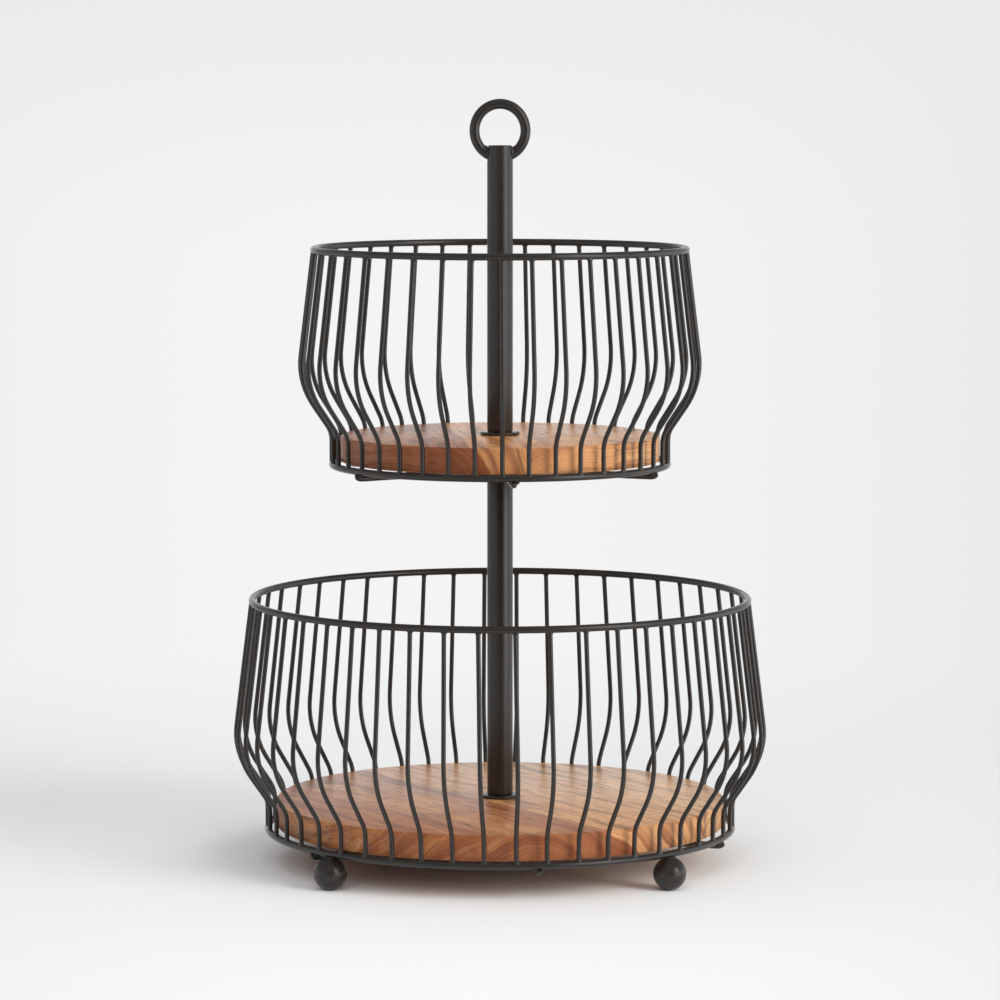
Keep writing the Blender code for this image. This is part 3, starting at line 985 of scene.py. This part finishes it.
# %% Floor
FLOOR_COLOUR = (0.87, 0.87, 0.87, 1)
BACKDROP_LOW = (0.905, 0.905, 0.905, 1)
BACKDROP_HIGH = (0.825, 0.825, 0.825, 1)
# How fast floor and backdrop are painted darker towards the sides: a painted fall-off of light
BACKDROP_PAINTED_FALLOFF = 4.4
BACKDROP_CENTRE = 0.025
BACKDROP_LEAST = 0.90
CAMERA_DISTANCE = 3.2406
FLOOR_RADIUS = 9
GLOW_FROM = 0.30
GLOW_FULL = 1.25
CLEAR_FROM = 0.25
CLEAR_FULL = 0.45


def studio_floor():
    """A floor that turns into the backdrop's glow far out, and that gloss sees only close by; its
    colour and glow are painted darker towards the sides of the view.
    """
    clear_selection()
    bpy.ops.mesh.primitive_circle_add(vertices=96, radius=FLOOR_RADIUS, fill_type="NGON")
    floor = bpy.context.object
    floor.name = "studio_floor"
    finish = Finish("pale_floor")
    place = finish.place()
    side, depth, _ = finish.parts("SeparateXYZ", place)
    aside = side / (depth + CAMERA_DISTANCE) + BACKDROP_CENTRE
    distance = finish.node("VectorMath", {"operation": "LENGTH"}, {0: place}, out="Value")
    seen = finish.node("LightPath", out="Is Camera Ray")
    mirrored = finish.node("LightPath", out="Is Glossy Ray")
    # Painted shade: the floor's colour and glow darken towards the sides of the view
    painted_falloff = finish.node("Math", {"operation": "MAXIMUM"}, {
        0: 1 - aside * aside * BACKDROP_PAINTED_FALLOFF, 1: BACKDROP_LEAST})
    finish.set(base_color=finish.mix(1.0, FLOOR_COLOUR, painted_falloff, "MULTIPLY"), roughness=0.9,
               specular_ior_level=0.2)
    glow = finish.node("Emission", {}, {"Color": BACKDROP_LOW, "Strength": painted_falloff})
    clear = finish.node("BsdfTransparent")
    lit = Value(finish, finish.shader.outputs[0])
    far = finish.between(distance, GLOW_FROM, GLOW_FULL)
    lit = finish.node("MixShader", {}, {0: far * seen, 1: lit, 2: glow})
    far = finish.between(distance, CLEAR_FROM, CLEAR_FULL)
    lit = finish.node("MixShader", {}, {0: far * mirrored, 1: lit, 2: clear})
    finish.tree.links.new(lit.socket, finish.output.inputs["Surface"])
    floor.data.materials.append(finish.material)
    print("floor", FLOOR_RADIUS * 2, "m across")


studio_floor()

# %% Sky, room and backdrop
SKY_LOW = (0.20, 0.205, 0.21, 1)
SKY_HIGH = (0.76, 0.77, 0.78, 1)
TABLE = (0.80, 0.80, 0.80, 1)
CEILING = (0.35, 0.35, 0.36, 1)
# Degrees from the front to the right, and how bright the room is there
ROOM = [(-180, 1.35), (-166, 1.35), (-150, 0.45), (-132, 0.50), (-110, 0.90), (-42, 0.90),
        (-24, 0.45), (-9, 0.04), (27, 0.04), (40, 1.60), (45, 3.30), (62, 3.30), (74, 1.50),
        (118, 1.40), (138, 0.60), (152, 0.50), (166, 1.35), (180, 1.35)]
WALL_TOP = (0.05, 0.50)
TABLE_EDGE = (-0.16, -0.40)
KEY_GLOW = (5.0, 4.92, 4.8, 1)
KEY_LEFT = (math.radians(38), math.radians(44))
KEY_RIGHT = (math.radians(68), math.radians(62))
KEY_FOOT = (0.28, 0.34)
KEY_TOP = (0.66, 0.60)
BACKDROP_EDGE = (-0.048, 0.04)


def studio_world():
    """A sky that fills, a room that gloss sees and a backdrop that the camera sees, the backdrop
    painted darker towards the sides.
    """
    world = bpy.data.worlds.new("studio")
    bpy.context.scene.world = world
    world.use_nodes = True
    tree = world.node_tree
    tree.nodes.clear()

    def node(kind, sources=None, **settings):
        made = tree.nodes.new("ShaderNode" + kind)
        for name, value in settings.items():
            setattr(made, name, value)
        for place, source in (sources or {}).items():
            if isinstance(source, bpy.types.NodeSocket):
                tree.links.new(source, made.inputs[place])
            else:
                made.inputs[place].default_value = source
        return made

    def maths(operation, *values):
        return node("Math", dict(enumerate(values)), operation=operation).outputs[0]

    def share(value, low, high):
        return node("MapRange", {"Value": value, "From Min": low, "From Max": high},
                    interpolation_type="SMOOTHSTEP").outputs[0]

    def blend(factor, first, second):
        return node("Mix", {0: factor, 6: first, 7: second}, data_type="RGBA").outputs[2]

    split = node("SeparateXYZ", {0: node("TexCoord").outputs["Generated"]})
    x, y, z = split.outputs
    turn = maths("ARCTAN2", x, maths("MULTIPLY", y, -1.0))
    around = maths("MULTIPLY_ADD", turn, 1 / math.tau, 0.5)
    walls = node("ValToRGB", {0: around})
    stops = walls.color_ramp.elements
    stops.remove(stops[1])
    for index, (azimuth, level) in enumerate(ROOM):
        stop = stops.new(azimuth / 360 + 0.5) if index else stops[0]
        stop.color = (level, level, level, 1)
    room = blend(share(z, *WALL_TOP), walls.outputs[0], CEILING)
    glow = share(turn, *KEY_LEFT)
    for edge in (share(turn, *KEY_RIGHT), share(z, *KEY_FOOT), share(z, *KEY_TOP)):
        glow = maths("MULTIPLY", glow, edge)
    room = blend(glow, room, KEY_GLOW)
    room = blend(share(z, *TABLE_EDGE), room, TABLE)
    sky = blend(z, SKY_LOW, SKY_HIGH)

    rays = node("LightPath")
    fill = node("Background", {0: sky})
    mirrored = node("Background", {0: room})
    # Painted shade: the backdrop darkens towards the sides of the view
    aside = maths("ADD", maths("DIVIDE", x, y), BACKDROP_CENTRE)
    painted_falloff = maths("MULTIPLY_ADD", maths("MULTIPLY", aside, aside), -BACKDROP_PAINTED_FALLOFF, 1.0)
    painted_falloff = maths("MAXIMUM", painted_falloff, BACKDROP_LEAST)
    low = node("Mix", {0: 1.0, 6: BACKDROP_LOW, 7: painted_falloff}, data_type="RGBA",
               blend_type="MULTIPLY").outputs[2]
    seen = node("Background", {0: blend(share(z, *BACKDROP_EDGE), low, BACKDROP_HIGH)})
    with_gloss = node("MixShader", {0: rays.outputs["Is Glossy Ray"], 1: fill.outputs[0],
                                    2: mirrored.outputs[0]})
    with_camera = node("MixShader", {0: rays.outputs["Is Camera Ray"], 1: with_gloss.outputs[0],
                                     2: seen.outputs[0]})
    output = node("OutputWorld")
    tree.links.new(with_camera.outputs[0], output.inputs["Surface"])
    print("world of", len(tree.nodes), "nodes")


studio_world()

# %% Lamps
AIM_LEVEL = 0.25


def soft_lamp(name, azimuth, elevation, distance, width, height, power, colour):
    """A soft lamp aimed at the basket; azimuth runs from the front to the right."""
    lamp_data = bpy.data.lights.new(name, "AREA")
    lamp_data.shape = "RECTANGLE"
    lamp_data.size = width
    lamp_data.size_y = height
    lamp_data.energy = power
    lamp_data.color = colour
    lamp = bpy.data.objects.new(name, lamp_data)
    bpy.context.scene.collection.objects.link(lamp)
    out = Vector((math.sin(azimuth) * math.cos(elevation),
                  -math.cos(azimuth) * math.cos(elevation), math.sin(elevation)))
    lamp.location = Vector((0, 0, AIM_LEVEL)) + out * distance
    lamp.rotation_mode = "QUATERNION"
    lamp.rotation_quaternion = (-out).to_track_quat("-Z", "Y")
    lamp.visible_camera = False
    lamp.visible_glossy = False
    print(name, "lamp", distance, "m away")


soft_lamp("key", azimuth=math.radians(53), elevation=math.radians(23), distance=8.0,
          width=4.0, height=5.2, power=610, colour=(1.0, 0.985, 0.96))
soft_lamp("fill", azimuth=math.radians(-8), elevation=math.radians(36), distance=5.0,
          width=3.0, height=3.0, power=72, colour=(1.0, 1.0, 1.0))

# %% [markdown]
# ## The camera
# A long lens just above the height of the handle looks down by less than six degrees, which
# keeps the uprights almost parallel and shows each rim as a thin ellipse.

# %% Camera
SENSOR_WIDTH = 36
FOCAL_LENGTH = 158.4
CAMERA_HEIGHT = 0.5857
CAMERA_TILT = 5.571
NEAREST = 0.1
FARTHEST = 60


def studio_camera():
    """A long lens that looks down a little at the basket."""
    camera_data = bpy.data.cameras.new("camera")
    camera_data.sensor_width = SENSOR_WIDTH
    camera_data.lens = FOCAL_LENGTH
    camera_data.clip_start = NEAREST
    camera_data.clip_end = FARTHEST
    camera = bpy.data.objects.new("camera", camera_data)
    bpy.context.scene.collection.objects.link(camera)
    camera.location = (0, -CAMERA_DISTANCE, CAMERA_HEIGHT)
    camera.rotation_euler = (math.radians(90 - CAMERA_TILT), 0, 0)
    bpy.context.scene.camera = camera
    print("camera with a", FOCAL_LENGTH, "mm lens", CAMERA_DISTANCE, "m in front")


studio_camera()
bpy.context.scene.view_settings.view_transform = "Standard"
